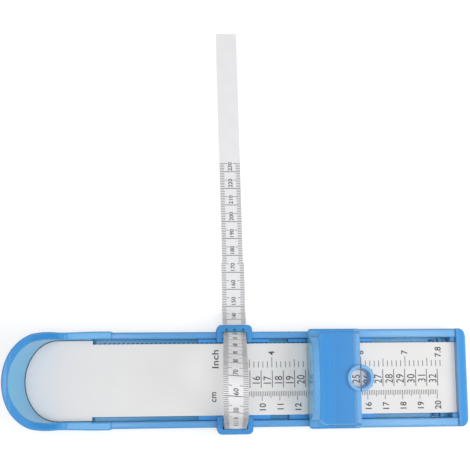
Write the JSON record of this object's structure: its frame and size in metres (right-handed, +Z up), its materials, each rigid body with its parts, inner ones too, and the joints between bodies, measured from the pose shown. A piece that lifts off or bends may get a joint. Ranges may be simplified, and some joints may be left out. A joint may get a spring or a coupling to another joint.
{
  "type": "foot measuring device",
  "caption": "Small blue foot gauge: white scale tray with a heel cup, a toe slider with a reading ring, and a girth tape on a sliding carriage.",
  "frame": {"origin": "on the table, on the centre line, below the foot of the heel wall's inner face (the zero of foot length)", "axes": "+X from the heel towards the toes, +Y towards the side where the tape comes out, +Z up"},
  "size_m": [0.2519, 0.2373, 0.0662],
  "materials": {
    "blue_tray": "moulded ABS, satin to gloss",
    "blue_cup": "moulded ABS, satin to gloss",
    "blue_slider": "moulded ABS, glossy",
    "white_plate": "printed white sheet, satin",
    "rack": "moulded acetal, teal blue",
    "runner": "moulded acetal, satin",
    "tape": "printed white vinyl tape",
    "rivet": "nickel plated"
  },
  "bodies": {
    "tray": {"base_tray": "blue_tray", "heel_cup": "blue_cup", "toe_end_cap": "blue_tray", "scale_plate": "white_plate", "detent_rack": "rack"},
    "toe_stop": {"toe_slider": "blue_slider", "slider_runner_far": "runner", "slider_runner_near": "runner"},
    "carriage": {"tape_carriage": "blue_slider", "carriage_runner_far": "runner", "carriage_runner_near": "runner", "tape_lead": "tape", "tape_rivet": "rivet", "tape_arch": "tape", "tape_exit": "tape"},
    "tape_end": {"tape_tail": "tape"}
  },
  "joints": [
    {"name": "toe_slide", "type": "slide", "parent": "tray", "child": "toe_stop", "axis": [1, 0, 0], "range_m": [-0.01, 0.044]},
    {"name": "carriage_slide", "type": "slide", "parent": "tray", "child": "carriage", "axis": [1, 0, 0], "range_m": [-0.057, 0]},
    {"name": "tape_pull", "type": "slide", "parent": "carriage", "child": "tape_end", "axis": [0, 1, 0], "range_m": [0, 0.06], "deforming": ["tape_arch"]}
  ]
}
